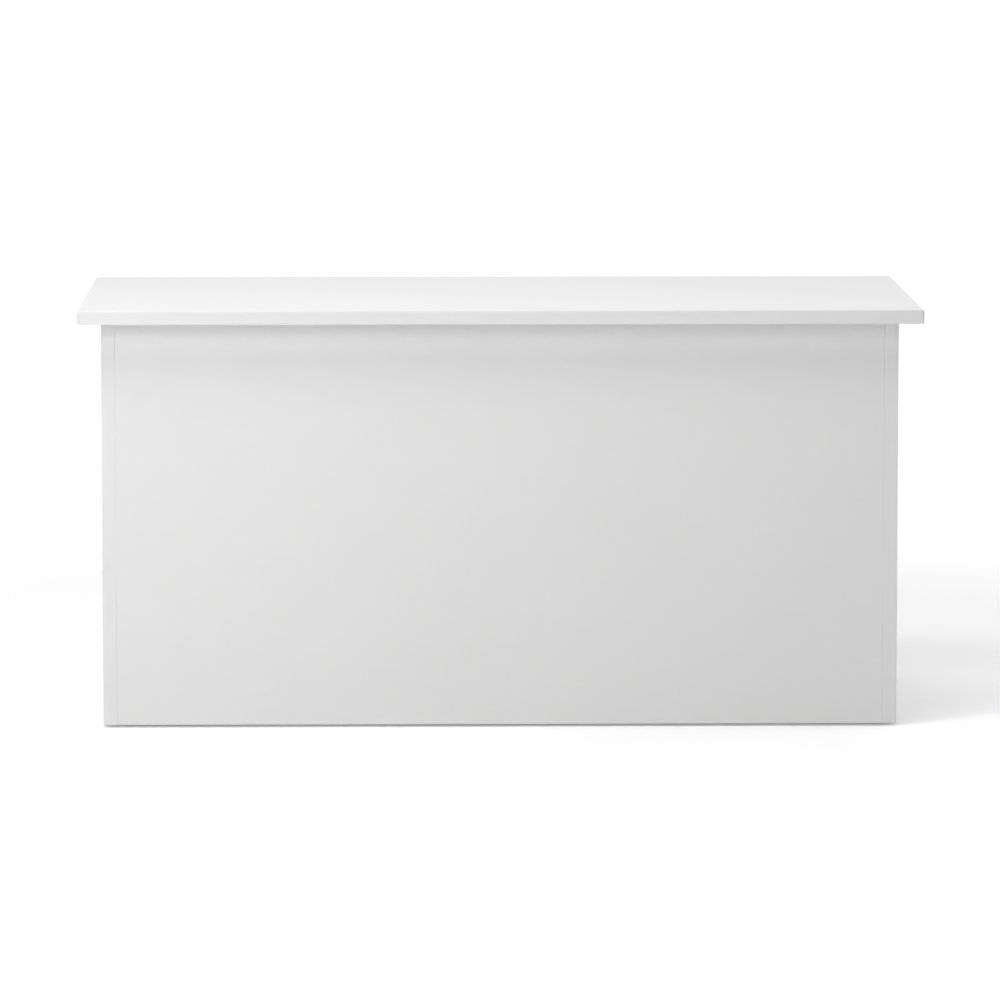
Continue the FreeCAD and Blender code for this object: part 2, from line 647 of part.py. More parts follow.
bottom_middle = f"({BOTTOM_LEVEL} + dims.board / 2)"
bottom_dowel_places = [(x, f"{BODY_MIDDLE} + {y}", bottom_middle, facing(-outwards, Y))
                       for _, x, outwards in SIDES for y in BOTTOM_SIDE_DOWELS]
for sign, inwards in (("-", Y), ("+", -Y)):
    wall = f"({BODY_MIDDLE} {sign} {INNER_HALF_DEPTH})"
    bottom_dowel_places += [(x, wall, bottom_middle, facing(inwards, X))
                            for x in BOTTOM_LONG_DOWELS]
bottom_bolt_places = [(x, f"{BODY_MIDDLE} + {y}", bottom_middle, facing(-outwards, Y))
                      for _, x, outwards in SIDES for y in both_signs("dims.bottom_side_bolt")]
bottom_cam_places = [(f"{side} * {CAM_REACH}", f"{BODY_MIDDLE} + {y}",
                      f"{BOTTOM_LEVEL} + dims.cam_hole_depth", facing(-Z, outwards))
                     for side, _, outwards in SIDES for y in both_signs("dims.bottom_side_bolt")]
FRONT_INNER_FACE = f"({FRONT_MIDDLE} + dims.board / 2)"
REAR_INNER_FACE = f"({REAR_MIDDLE} - dims.board / 2)"

copies("front_corner_dowels", dowel, corner_places(FRONT_MIDDLE, CORNER_DOWEL_HEIGHTS))
copies("back_corner_dowels", dowel, corner_places(REAR_MIDDLE, CORNER_DOWEL_HEIGHTS))
copies("bottom_dowels", dowel, bottom_dowel_places)
copies("front_cam_bolts", cam_bolt, corner_places(FRONT_MIDDLE, CORNER_BOLT_HEIGHTS))
copies("back_cam_bolts", cam_bolt, corner_places(REAR_MIDDLE, CORNER_BOLT_HEIGHTS))
copies("bottom_cam_bolts", cam_bolt, bottom_bolt_places)
copies("front_cam_locks", cam_lock, cam_places(FRONT_INNER_FACE, Y, "dims.cam_hole_depth"))
copies("back_cam_locks", cam_lock, cam_places(REAR_INNER_FACE, -Y, "dims.cam_hole_depth"))
copies("bottom_cam_locks", cam_lock, bottom_cam_places)
copies("front_cam_caps", cam_cap, cam_places(FRONT_INNER_FACE, Y, "0"))
copies("back_cam_caps", cam_cap, cam_places(REAR_INNER_FACE, -Y, "0"))

# ---------------------------------------------------------------- glides and bumpers


def make_glide():
    """A nylon disc with a rounded lower edge, a nail hole, and a recess for the nail's head."""
    puck = cylinder("glide_puck", "dims.glide_radius", "dims.glide_height")
    doc.recompute()
    lower_edge = next(index for index, edge in enumerate(puck.Shape.Edges, start=1)
                      if edge.Closed and edge.BoundBox.ZMax < NEAR_ZERO)
    rounded = doc.addObject("Part::Fillet", "glide_rounded")
    rounded.Base = puck
    edge_radius = value("dims.glide_edge_radius")
    rounded.Edges = [(lower_edge, edge_radius, edge_radius)]
    hole = cylinder("glide_hole", "dims.nail_hole_radius", "dims.glide_height")
    recess = cylinder("glide_recess", "dims.nail_recess_radius", "dims.nail_recess_depth")
    return cut("glide", rounded, fuse("glide_cuts", hole, recess))


def make_nail():
    """A nail whose head fills the top of the glide's recess."""
    head = cylinder("nail_head", "dims.nail_head_radius", "dims.nail_head_height",
                    z="dims.nail_recess_depth - dims.nail_head_height")
    shank = cylinder("nail_shank", "dims.nail_radius", "dims.nail_length",
                     z="dims.nail_recess_depth")
    return fuse("nail", head, shank)


def make_bumper():
    """A clear soft disc with a shallow domed top."""
    foot = cylinder("bumper_base", "dims.bumper_radius", "dims.bumper_foot")
    crown = dome("bumper_crown", "dims.bumper_radius",
                 "dims.bumper_height - dims.bumper_foot", z="dims.bumper_foot")
    return fuse("bumper", foot, crown)


glide = make_glide()
nail = make_nail()
bumper = make_bumper()

side_middle = f"({HALF_WIDTH} - dims.board / 2)"
glide_y = f"({HALF_DEPTH} - dims.glide_inset)"
glide_places = [(x, f"{BODY_MIDDLE} {sign} {glide_y}", "0", None)
                for x in both_signs(side_middle) for sign in "+-"]
bumper_places = [(x, FRONT_MIDDLE, PANEL_TOP, None) for x in both_signs("dims.bumper_reach")]
bumper_places += [(x, BODY_MIDDLE, PANEL_TOP, None) for x in both_signs(side_middle)]
copies("floor_glides", glide, glide_places)
copies("glide_nails", nail, glide_places)
copies("lid_bumpers", bumper, bumper_places)

# ---------------------------------------------------------------- screws


def make_screw(name, head_radius, shank_radius, length):
    """A countersunk screw: head face at zero, point down its own -Z, cross slot in the head."""
    head_height = f"({head_radius} - {shank_radius})"
    tip = f"(dims.screw_tip_share * {shank_radius})"
    body_length = f"({length} - {head_height} - {tip})"
    head = cone(name + "_head", shank_radius, head_radius, head_height, z=f"-{head_height}")
    shank = cylinder(name + "_shank", shank_radius, body_length,
                     z=f"-{head_height} - {body_length}")
    point = cone(name + "_point", f"dims.screw_point_share * {shank_radius}", shank_radius, tip,
                 z=f"-{length}")
    slot_depth = f"(dims.screw_slot_depth_share * {head_height})"
    slots = cross(name + "_slot", f"(dims.screw_slot_length_share * {head_radius})",
                  f"(dims.screw_slot_width_share * {head_radius})", slot_depth, f"-{slot_depth}")
    return cut(name, fuse(name + "_blank", head, shank, point), fuse(name + "_cross", *slots))


hinge_body_screw = make_screw("hinge_body_screw", "dims.hinge_screw_head",
                              "dims.hinge_screw_shank", "dims.hinge_body_screw_length")
hinge_lid_screw = make_screw("hinge_lid_screw", "dims.hinge_screw_head",
                             "dims.hinge_screw_shank", "dims.hinge_lid_screw_length")
stay_screw = make_screw("stay_screw", "dims.stay_screw_head", "dims.stay_screw_shank",
                        "dims.stay_screw_length")

# ---------------------------------------------------------------- hinges

HINGES = (("left", "-dims.hinge_reach"), ("right", "dims.hinge_reach"))
UPSIDE_DOWN = FreeCAD.Rotation(X, 180)


def make_leaf(name, x, knuckles, below, bore):
    """A hinge leaf: a plate on one side of the gap and its share of the five knuckles.

    Its frame has the pin's axis as X and the plate's free side towards -Y.
    """
    body = new_body(name)
    low = "-dims.leaf_clearance - dims.leaf_thickness" if below else "dims.leaf_clearance"
    back = "-dims.hinge_setback - dims.leaf_clearance"
    outline = new_sketch(body, name + "_outline", "XY_Plane", low)
    rectangle(outline, "-dims.hinge_length / 2", "dims.hinge_length / 2",
              "-dims.hinge_setback - dims.leaf_width", back)
    pad(body, outline, name + "_plate", "dims.leaf_thickness")
    first = f"-{knuckles - 1} * dims.knuckle_pitch - dims.knuckle_pitch / 2"
    start = f"{first} + dims.knuckle_gap / 2"
    width = "dims.knuckle_pitch - dims.knuckle_gap"
    tongue = new_sketch(body, name + "_tongue_outline", "XY_Plane", low)
    rectangle(tongue, start, f"{start} + {width}", back, "0")
    tongue_pad = pad(body, tongue, name + "_tongue", "dims.leaf_thickness")
    barrel = new_sketch(body, name + "_barrel_outline", "YZ_Plane", start)
    circle = Part.Circle(V(0, 0, 0), Z, value("dims.knuckle_radius"))
    ring = barrel.addGeometry(circle, False)
    barrel.addConstraint(Sketcher.Constraint("Coincident", ring, 3, -1, 1))
    dimension(barrel, "radius", "dims.knuckle_radius", "Radius", ring)
    barrel_pad = pad(body, barrel, name + "_barrel", width)
    row = body.newObject("PartDesign::LinearPattern", name + "_knuckles")
    row.Originals = [tongue_pad, barrel_pad]
    row.Direction = (origin_plane(body, "X_Axis"), [""])
    row.Occurrences = knuckles
    bind(row, Length=f"{2 * (knuckles - 1)} * dims.knuckle_pitch")
    body.Tip = row
    doc.recompute()
    drill(body, name + "_bore", "YZ_Plane", "dims.hinge_length / 2", [("0", "0")], bore,
          "dims.hinge_length")
    for index, screw_x in enumerate(LEAF_SCREWS):
        sink = body.newObject("PartDesign::SubtractiveCone", f"{name}_sink_{index}")
        wide = "dims.hinge_screw_head + dims.drill_ease"
        bind(sink, Radius1=f"{wide} - dims.leaf_thickness", Radius2=wide,
             Height="dims.leaf_thickness")
        turn = None if below else UPSIDE_DOWN
        level = low if below else "dims.leaf_clearance + dims.leaf_thickness"
        place(sink, screw_x, f"-{LEAF_SCREW_BACK}", level, turn=turn)
    doc.recompute()
    place(body, x, HINGE_Y, HINGE_Z)
    return keep(body, name)


for side, x in HINGES:
    make_leaf(f"{side}_hinge_body_leaf", x, 3, True, "dims.pin_radius")
    make_leaf(f"{side}_hinge_lid_leaf", x, 2, False, "dims.pin_radius + dims.running_ease")
    length = "dims.hinge_length + 2 * dims.pin_overrun"
    pin = cylinder(f"{side}_pin", "dims.pin_radius", length, x=f"{x} - ({length}) / 2",
                   y=HINGE_Y, z=HINGE_Z, turn=facing(X, Y))
    keep(pin, f"{side}_hinge_pin")

leaf_screw_y = f"{HINGE_Y} - {LEAF_SCREW_BACK}"
leaf_screws = [f"{x} + {screw_x}" for _, x in HINGES for screw_x in LEAF_SCREWS]
body_leaf_top = f"{HINGE_Z} - dims.leaf_clearance"
lid_leaf_face = f"{HINGE_Z} + dims.leaf_clearance"
copies("hinge_body_screws", hinge_body_screw,
       [(x, leaf_screw_y, body_leaf_top, None) for x in leaf_screws])
copies("hinge_lid_screws", hinge_lid_screw,
       [(x, leaf_screw_y, lid_leaf_face, UPSIDE_DOWN) for x in leaf_screws])

# ---------------------------------------------------------------- folding lid stays


def make_side_bracket():
    """A round-ended plate on the side board, upright, with a raised seat for the arm's pivot."""
    body = new_body("side_bracket")
    half_pitch = "dims.side_bracket_screw_pitch / 2"
    outline = new_sketch(body, "side_bracket_outline", "YZ_Plane")
    strip_outline(outline, "dims.side_bracket_screw_pitch", "dims.side_bracket_radius")
    pad(body, outline, "side_bracket_plate", "dims.side_bracket_thickness")
    seat = new_sketch(body, "side_bracket_seat_outline", "YZ_Plane")
    seat_circle = Part.Circle(V(value(half_pitch), 0, 0), Z, value("dims.washer_radius"))
    ring = seat.addGeometry(seat_circle, False)
    seat.addConstraint(Sketcher.Constraint("PointOnObject", ring, 3, -1))
    dimension(seat, "along", half_pitch, "DistanceX", -1, 1, ring, 3)
    dimension(seat, "radius", "dims.washer_radius", "Radius", ring)
    pad(body, seat, "side_bracket_seat", "dims.side_bracket_boss", reverse=True)
    drill(body, "side_bracket_rivet_hole", "YZ_Plane", "dims.side_bracket_thickness",
          [(half_pitch, "0")], "dims.rivet_radius",
          "dims.side_bracket_thickness + dims.side_bracket_boss")
    for index, along in enumerate(("0", "dims.side_bracket_screw_pitch")):
        sink_screw(body, f"side_bracket_sink_{index}", "0", along, "0",
                   "dims.side_bracket_thickness", facing(X, Y))
    place(body, f"{INNER_HALF_WIDTH} - dims.side_bracket_thickness", STAY_BASE_Y,
          f"{STAY_BASE_Z} - {half_pitch}", turn=FreeCAD.Rotation(X, 90))
    return keep(body, "right_stay_side_bracket")


def sink_screw(body, name, x, y, z, thickness, turn):
    """A countersunk clearance hole from a plate's face, down the turn's own Z."""
    ease = "dims.drill_ease"
    sink = body.newObject("PartDesign::SubtractiveCone", name)
    bind(sink, Radius1=f"dims.stay_screw_head + {ease}", Radius2=f"dims.stay_screw_shank + {ease}",
         Height="dims.stay_screw_head - dims.stay_screw_shank")
    place(sink, x, y, z, turn=turn)
    doc.recompute()
    hole = body.newObject("PartDesign::SubtractiveCylinder", name + "_hole")
    bind(hole, Radius=f"dims.stay_screw_shank + {ease}", Height=thickness)
    place(hole, x, y, z, turn=turn)
    doc.recompute()


def make_lower_arm():
    """The arm from the base pivot to the elbow, with a bent tab that stops the upper arm."""
    body = new_body("lower_arm")
    outline = new_sketch(body, "lower_arm_outline", "YZ_Plane")
    strip_outline(outline, "dims.stay_arm", "dims.strip_radius")
    pad(body, outline, "lower_arm_strip", "dims.strip_thickness")
    turn_angle = f"({ELBOW_OPEN_ANGLE} - 180 deg)"
    offset = "(dims.strip_radius + dims.stop_clearance)"
    lobe_y = f"dims.stay_arm + dims.stop_start * cos({turn_angle})"
    lobe_z = f"dims.stop_start * sin({turn_angle})"
    lobe = body.newObject("PartDesign::AdditiveBox", "stop_lobe")
    bind(lobe, Length="dims.strip_thickness", Width="dims.stop_length",
         Height=f"{offset} + dims.stop_thickness")
    place(lobe, "0", lobe_y, lobe_z, angle=turn_angle)
    doc.recompute()
    reach = "(dims.strip_thickness + dims.washer_thickness + dims.side_play)"
    tab = body.newObject("PartDesign::AdditiveBox", "stop_tab")
    bind(tab, Length=reach, Width="dims.stop_length", Height="dims.stop_thickness")
    place(tab, f"-{reach}", f"{lobe_y} - {offset} * sin({turn_angle})",
          f"{lobe_z} + {offset} * cos({turn_angle})", angle=turn_angle)
    doc.recompute()
    drill(body, "lower_arm_base_hole", "YZ_Plane", "dims.strip_thickness", [("0", "0")],
          "dims.rivet_radius + dims.running_ease", "dims.strip_thickness")
    drill(body, "lower_arm_elbow_hole", "YZ_Plane", "dims.strip_thickness",
          [("dims.stay_arm", "0")], "dims.rivet_radius", "dims.strip_thickness")
    place(body, LOWER_ARM_INNER, STAY_BASE_Y, STAY_BASE_Z, angle=LOWER_ARM_ANGLE)
    return keep(body, "right_stay_lower_arm")


def make_upper_arm():
    """The arm from the elbow to the lid's bracket."""
    body = new_body("upper_arm")
    outline = new_sketch(body, "upper_arm_outline", "YZ_Plane")
    strip_outline(outline, "dims.stay_arm", "dims.strip_radius")
    pad(body, outline, "upper_arm_strip", "dims.strip_thickness")
    drill(body, "upper_arm_elbow_hole", "YZ_Plane", "dims.strip_thickness", [("0", "0")],
          "dims.rivet_radius + dims.running_ease", "dims.strip_thickness")
    drill(body, "upper_arm_lid_hole", "YZ_Plane", "dims.strip_thickness",
          [("dims.stay_arm", "0")], "dims.rivet_radius + dims.open_pivot_ease",
          "dims.strip_thickness")
    place(body, UPPER_ARM_INNER, STAY_ELBOW_Y, STAY_ELBOW_Z, angle=UPPER_ARM_ANGLE)
    return keep(body, "right_stay_upper_arm")


def make_lid_bracket():
    """An angle under the lid: a leg down to the arm's pivot and a foot screwed to the lid."""
    body = new_body("lid_bracket")
    height = "(dims.stay_lid_drop + dims.lid_gap / 2)"
    leg = new_sketch(body, "lid_bracket_leg_outline", "YZ_Plane")
    strip_outline(leg, f"{height} - dims.strip_radius", "dims.strip_radius")
    pad(body, leg, "lid_bracket_leg", "dims.strip_thickness")
    shoulder = new_sketch(body, "lid_bracket_shoulder_outline", "YZ_Plane")
    rectangle(shoulder, f"{height} - dims.lid_foot_shoulder", height,
              "-dims.lid_foot_half_length", "dims.lid_foot_half_length")
    pad(body, shoulder, "lid_bracket_shoulder", "dims.strip_thickness")
    foot = new_sketch(body, "lid_bracket_foot_outline", "YZ_Plane")
    rectangle(foot, f"{height} - dims.strip_thickness", height,
              "-dims.lid_foot_half_length", "dims.lid_foot_half_length")
    pad(body, foot, "lid_bracket_foot", "dims.lid_foot_width", reverse=True)
    drill(body, "lid_bracket_rivet_hole", "YZ_Plane", "dims.strip_thickness", [("0", "0")],
          "dims.rivet_radius", "dims.strip_thickness")
    half_pitch = "dims.lid_foot_screw_pitch / 2"
    for index, across in enumerate(both_signs(half_pitch)):
        sink_screw(body, f"lid_bracket_sink_{index}", "-dims.lid_foot_screw_inset",
                   f"{height} - dims.strip_thickness", across, "dims.strip_thickness",
                   facing(Y, X))
    place(body, LEG_INNER, STAY_LID_Y, STAY_LID_Z, turn=FreeCAD.Rotation(X, 90))
    return keep(body, "right_stay_lid_bracket")


def make_rivet(name, x, y, z, length, outer_head, inner_head):
    """A rivet along X: its shank starts at x and runs towards the side board."""
    pieces = [cylinder(name + "_shank", "dims.rivet_radius", length)]
    if outer_head:
        pieces.append(dome(name + "_outer", "dims.rivet_head_radius", outer_head, z=length))
    if inner_head:
        pieces.append(dome(name + "_inner", "dims.rivet_head_radius", inner_head, flip=True))
    rivet = fuse(name + "_rivet", *pieces)
    place(rivet, x, y, z, turn=facing(X, Y))
    return keep(rivet, name)


def make_washer(name, x, y, z):
    """A nylon washer along X; x is its face towards the middle of the box."""
    disc = cylinder(name + "_disc", "dims.washer_radius", "dims.washer_thickness")
    hole = cylinder(name + "_hole", "dims.rivet_radius", "dims.washer_thickness")
    washer = cut(name + "_ring", disc, hole)
    place(washer, x, y, z, turn=facing(X, Y))
    return keep(washer, name)


HEAD = "dims.rivet_head_height"
TAIL = "dims.rivet_tail_height"
base_head_face = f"({LOWER_ARM_INNER} - dims.side_play)"
elbow_head_face = f"({UPPER_ARM_INNER} - dims.side_play)"
lid_head_face = f"({UPPER_ARM_OUTER} + dims.side_play)"

RIGHT_STAY = [
    make_side_bracket(),
    make_rivet("right_stay_base_rivet", base_head_face, STAY_BASE_Y, STAY_BASE_Z,
               f"({INNER_HALF_WIDTH} - {base_head_face})", None, HEAD),
    make_washer("right_stay_base_washer", f"{BOSS_FACE} - dims.washer_thickness",
                STAY_BASE_Y, STAY_BASE_Z),
    make_lower_arm(),
    make_rivet("right_stay_elbow_rivet", elbow_head_face, STAY_ELBOW_Y, STAY_ELBOW_Z,
               f"({LOWER_ARM_OUTER} - {elbow_head_face})", TAIL, HEAD),
    make_washer("right_stay_elbow_washer", f"{LOWER_ARM_INNER} - dims.washer_thickness",
                STAY_ELBOW_Y, STAY_ELBOW_Z),
    make_upper_arm(),
    make_lid_bracket(),
    make_rivet("right_stay_lid_rivet", LEG_INNER, STAY_LID_Y, STAY_LID_Z,
               f"({lid_head_face} - {LEG_INNER})", HEAD, TAIL),
    make_washer("right_stay_lid_washer", LEG_OUTER, STAY_LID_Y, STAY_LID_Z),
]
for piece in RIGHT_STAY:
    mirrored_copy(piece.Label.replace("right_", "left_"), piece)

side_plate_face = f"({INNER_HALF_WIDTH} - dims.side_bracket_thickness)"
half_screw_pitch = "dims.side_bracket_screw_pitch / 2"
copies("stay_bracket_screws", stay_screw,
       [(f"{side} * {side_plate_face}", STAY_BASE_Y, f"{STAY_BASE_Z} {sign} {half_screw_pitch}",
         facing(-outwards, Y))
        for side, _, outwards in SIDES for sign in "+-"])
foot_screw_x = f"({LEG_INNER} - dims.lid_foot_screw_inset)"
half_foot_pitch = "dims.lid_foot_screw_pitch / 2"
copies("lid_bracket_screws", stay_screw,
       [(x, f"{STAY_LID_Y} {sign} {half_foot_pitch}", f"{LID_UNDERSIDE} - dims.strip_thickness",
         UPSIDE_DOWN)
        for x in both_signs(foot_screw_x) for sign in "+-"])

# ---------------------------------------------------------------- checks and files

doc.recompute()
for item in doc.Objects:
    if "Invalid" in item.State or "Error" in item.State:
        raise RuntimeError(f"{item.Name} did not rebuild: {item.State}")

os.makedirs("parts", exist_ok=True)
for subpart in subparts:
    shape = subpart.Shape
    if shape.isNull() or not shape.isValid():
        raise RuntimeError(f"{subpart.Label} has no valid shape")
    shape.exportStep(os.path.join("parts", subpart.Label + ".step"))
print(f"{len(subparts)} sub-parts written")
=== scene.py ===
import json
import math

import bmesh
import bpy
from mathutils import Matrix, Vector


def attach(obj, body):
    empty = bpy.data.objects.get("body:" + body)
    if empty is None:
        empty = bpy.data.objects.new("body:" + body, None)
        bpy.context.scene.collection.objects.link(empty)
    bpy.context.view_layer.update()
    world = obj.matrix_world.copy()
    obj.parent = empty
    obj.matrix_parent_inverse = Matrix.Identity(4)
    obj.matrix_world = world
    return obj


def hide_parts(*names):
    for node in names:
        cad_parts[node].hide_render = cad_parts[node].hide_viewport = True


# A white wooden toy box in a pale studio. The boards, hinges, stays, cam locks and glides are the
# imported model's own meshes, with the edges of the flat steel softened. The screws, bolts, dowels,
# nails, caps and bumpers are finer meshes made here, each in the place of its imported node. Metres,
# +Z up, front towards -Y.

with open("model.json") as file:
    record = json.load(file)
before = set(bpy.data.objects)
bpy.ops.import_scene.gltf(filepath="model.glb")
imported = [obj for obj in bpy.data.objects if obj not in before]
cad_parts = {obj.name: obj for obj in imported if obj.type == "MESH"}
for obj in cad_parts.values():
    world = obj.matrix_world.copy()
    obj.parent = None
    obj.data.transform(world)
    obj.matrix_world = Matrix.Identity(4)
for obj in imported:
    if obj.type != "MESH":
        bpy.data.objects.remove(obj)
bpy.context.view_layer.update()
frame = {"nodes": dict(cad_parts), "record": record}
scene = bpy.context.scene
MM = 0.001
TAU = 2 * math.pi
SAME_POINT = 0.001 * MM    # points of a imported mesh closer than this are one
SLIVER = 0.002 * MM        # edges shorter than this are dropped after a cut


# ---------------------------------------------------------------- materials

class Paint:
    """A node material on a Principled shader, with short calls for what the finishes share."""

    def __init__(self, name, **constants):
        self.material = bpy.data.materials.new(name)
        self.material.use_nodes = True
        self.nodes = self.material.node_tree.nodes
        self.links = self.material.node_tree.links
        self.shader = self.nodes["Principled BSDF"]
        self.place = self.nodes.new("ShaderNodeTexCoord").outputs["Object"]
        for socket, value in constants.items():
            self.shader.inputs[socket.replace("_", " ")].default_value = value

    def stretched(self, scale):
        """The object's own coordinates, scaled by a different factor along each axis."""
        mapping = self.nodes.new("ShaderNodeMapping")
        mapping.inputs["Scale"].default_value = scale
        self.links.new(self.place, mapping.inputs["Vector"])
        return mapping.outputs["Vector"]

    def noise(self, scale, detail=2.0, roughness=0.5, vector=None, distortion=0.0):
        texture = self.nodes.new("ShaderNodeTexNoise")
        texture.inputs["Scale"].default_value = scale
        texture.inputs["Detail"].default_value = detail
        texture.inputs["Roughness"].default_value = roughness
        texture.inputs["Distortion"].default_value = distortion
        self.links.new(vector or self.place, texture.inputs["Vector"])
        return texture.outputs["Fac"]

    def spread(self, value, low, high, from_low=0.3, from_high=0.7):
        """The value, mapped from its usual span onto low to high."""
        node = self.nodes.new("ShaderNodeMapRange")
        node.inputs["From Min"].default_value = from_low
        node.inputs["From Max"].default_value = from_high
        node.inputs["To Min"].default_value = low
        node.inputs["To Max"].default_value = high
        self.links.new(value, node.inputs["Value"])
        return node.outputs["Result"]

    def colours(self, value, *stops):
        """A colour ramp over the value: (position, (r, g, b)) stops."""
        ramp = self.nodes.new("ShaderNodeValToRGB")
        elements = ramp.color_ramp.elements
        while len(elements) < len(stops):
            elements.new(1.0)
        for element, (position, colour) in zip(elements, stops):
            element.position = position
            element.color = (*colour, 1.0)
        self.links.new(value, ramp.inputs["Fac"])
        return ramp.outputs["Color"]

    def maths(self, operation, first, second):
        node = self.nodes.new("ShaderNodeMath")
        node.operation = operation
        self.links.new(first, node.inputs[0])
        self.links.new(second, node.inputs[1])
        return node.outputs["Value"]

    def add(self, first, second):
        return self.maths("ADD", first, second)

    def multiply(self, first, second):
        return self.maths("MULTIPLY", first, second)

    def bump(self, height, strength, distance, below=None):
        node = self.nodes.new("ShaderNodeBump")
        node.inputs["Strength"].default_value = strength
        node.inputs["Distance"].default_value = distance
        self.links.new(height, node.inputs["Height"])
        if below is not None:
            self.links.new(below, node.inputs["Normal"])
        return node.outputs["Normal"]

    def set(self, colour=None, roughness=None, normal=None):
        for socket, value in (("Base Color", colour), ("Roughness", roughness),
                              ("Normal", normal)):
            if value is not None:
                self.links.new(value, self.shader.inputs[socket])
        return self.material


def white_lacquer(name, grain):
    """Satin white lacquer: broad unevenness, a fine spray texture, and the wood's fibres just
    telegraphing through along the board's grain. grain is the scale along each axis."""
    paint = Paint(name, Coat_Weight=0.2, Coat_Roughness=0.22, IOR=1.46)
    broad = paint.noise(scale=7.0, detail=3.0)
    fibres = paint.noise(scale=1.0, detail=5.0, roughness=0.62, vector=paint.stretched(grain),
                         distortion=0.15)
    spray = paint.noise(scale=420.0, detail=1.0)
    duller_white, brighter_white = (0.848, 0.848, 0.846), (0.866, 0.866, 0.864)
    colour = paint.colours(paint.add(paint.spread(broad, 0.0, 0.6), paint.spread(fibres, 0.0, 0.4)),
                           (0.0, duller_white), (1.0, brighter_white))
    roughness = paint.add(paint.spread(broad, 0.34, 0.38), paint.spread(fibres, 0.0, 0.04))
    normal = paint.bump(fibres, strength=0.05, distance=0.08 * MM)
    normal = paint.bump(spray, strength=0.04, distance=0.06 * MM, below=normal)
    return paint.set(colour, roughness, normal)


def beech():
    """Raw beech: pale brown with short darker flecks along the length."""
    streak_scale, fleck_scale = (60, 900, 900), (260, 2400, 2400)
    paint = Paint("beech_wood", Specular_IOR_Level=0.35)
    streaks = paint.noise(scale=1.0, detail=6.0, vector=paint.stretched(streak_scale))
    flecks = paint.noise(scale=1.0, detail=2.0, vector=paint.stretched(fleck_scale))
    dark_fleck, brown, pale_brown = (0.42, 0.25, 0.13), (0.62, 0.42, 0.25), (0.73, 0.54, 0.35)
    colour = paint.colours(paint.add(paint.spread(streaks, 0.0, 0.7), paint.spread(flecks, 0.0, 0.3)),
                           (0.0, dark_fleck), (0.45, brown), (1.0, pale_brown))
    return paint.set(colour, paint.spread(streaks, 0.62, 0.78),
                     paint.bump(streaks, strength=0.3, distance=0.1 * MM))


def plated_steel(name, tone, roughness, brushing, scratch):
    """Plated steel with a fine brushed or tumbled texture and a cloudy, uneven shine. brushing is
    the texture's scale along each axis, and scratch its strength."""
    dark_share, unevenness = 0.86, 0.05
    paint = Paint(name, Metallic=1.0)
    cloud = paint.noise(scale=90.0, detail=3.0)
    brushed = paint.noise(scale=1.0, detail=4.0, roughness=0.7, vector=paint.stretched(brushing))
    darker = tuple(channel * dark_share for channel in tone)
    colour = paint.colours(paint.spread(cloud, 0.0, 1.0), (0.0, darker), (1.0, tone))
    rough = paint.add(paint.spread(cloud, roughness - unevenness, roughness + unevenness),
                      paint.spread(brushed, -0.04, 0.08))
    return paint.set(colour, rough, paint.bump(brushed, scratch, distance=0.03 * MM))


def die_cast_zinc():
    """Dull die-cast zinc with a pebbled skin."""
    paint = Paint("cast_zinc", Metallic=1.0)
    pebbles = paint.noise(scale=900.0, detail=3.0)
    cloud = paint.noise(scale=140.0, detail=2.0)
    dark_grey, pale_grey = (0.40, 0.41, 0.43), (0.58, 0.59, 0.61)
    colour = paint.colours(paint.spread(cloud, 0.0, 1.0), (0.0, dark_grey), (1.0, pale_grey))
    return paint.set(colour, paint.spread(pebbles, 0.38, 0.55),
                     paint.bump(pebbles, strength=0.4, distance=0.08 * MM))


def moulded_plastic(name, dark, light, roughness, subsurface=0.0):
    """Moulded plastic with a faint spark-eroded grain and slight cloudiness."""
    paint = Paint(name, Subsurface_Weight=subsurface, Subsurface_Scale=0.002, IOR=1.50)
    smoother, rougher = roughness - 0.05, roughness + 0.07
    cloud = paint.noise(scale=160.0, detail=2.0)
    pores = paint.noise(scale=700.0, detail=2.0)
    colour = paint.colours(paint.spread(cloud, 0.0, 1.0), (0.0, dark), (1.0, light))
    return paint.set(colour, paint.spread(pores, smoother, rougher),
                     paint.bump(pores, strength=0.15, distance=0.05 * MM))


def clear_rubber():
    """Clear soft polyurethane, slightly hazy."""
    paint = Paint("clear_polyurethane", Transmission_Weight=0.35, Subsurface_Weight=0.3,
                  Subsurface_Scale=0.002, IOR=1.45, Coat_Weight=0.4)
    haze = paint.noise(scale=240.0, detail=2.0)
    milky, clearer = (0.84, 0.87, 0.88), (0.92, 0.94, 0.95)
    colour = paint.colours(paint.spread(haze, 0.0, 1.0), (0.0, milky), (1.0, clearer))
    return paint.set(colour, paint.spread(haze, 0.10, 0.20),
                     paint.bump(haze, strength=0.1, distance=0.05 * MM))


ALONG_GRAIN, ACROSS_GRAIN = 14.0, 520.0
ALONG_X = (ALONG_GRAIN, ACROSS_GRAIN, ACROSS_GRAIN)
ALONG_Y = (ACROSS_GRAIN, ALONG_GRAIN, ACROSS_GRAIN)
lacquer_long = white_lacquer("white_lacquer_long", ALONG_X)
lacquer_side = white_lacquer("white_lacquer_side", ALONG_Y)
beech_wood = beech()
zinc_plate = plated_steel("zinc_plated_steel", tone=(0.62, 0.64, 0.67), roughness=0.30,
                          brushing=(500, 1800, 1800), scratch=0.12)
nickel = plated_steel("satin_nickel", tone=(0.60, 0.575, 0.54), roughness=0.34,
                      brushing=(60, 1600, 1600), scratch=0.05)
strip_steel = plated_steel("zinc_plated_strip", tone=(0.60, 0.62, 0.65), roughness=0.34,
                           brushing=(1400, 60, 1400), scratch=0.05)
cast_zinc = die_cast_zinc()
nylon = moulded_plastic("natural_nylon", dark=(0.74, 0.73, 0.68), light=(0.84, 0.83, 0.79),
                        roughness=0.42, subsurface=0.15)
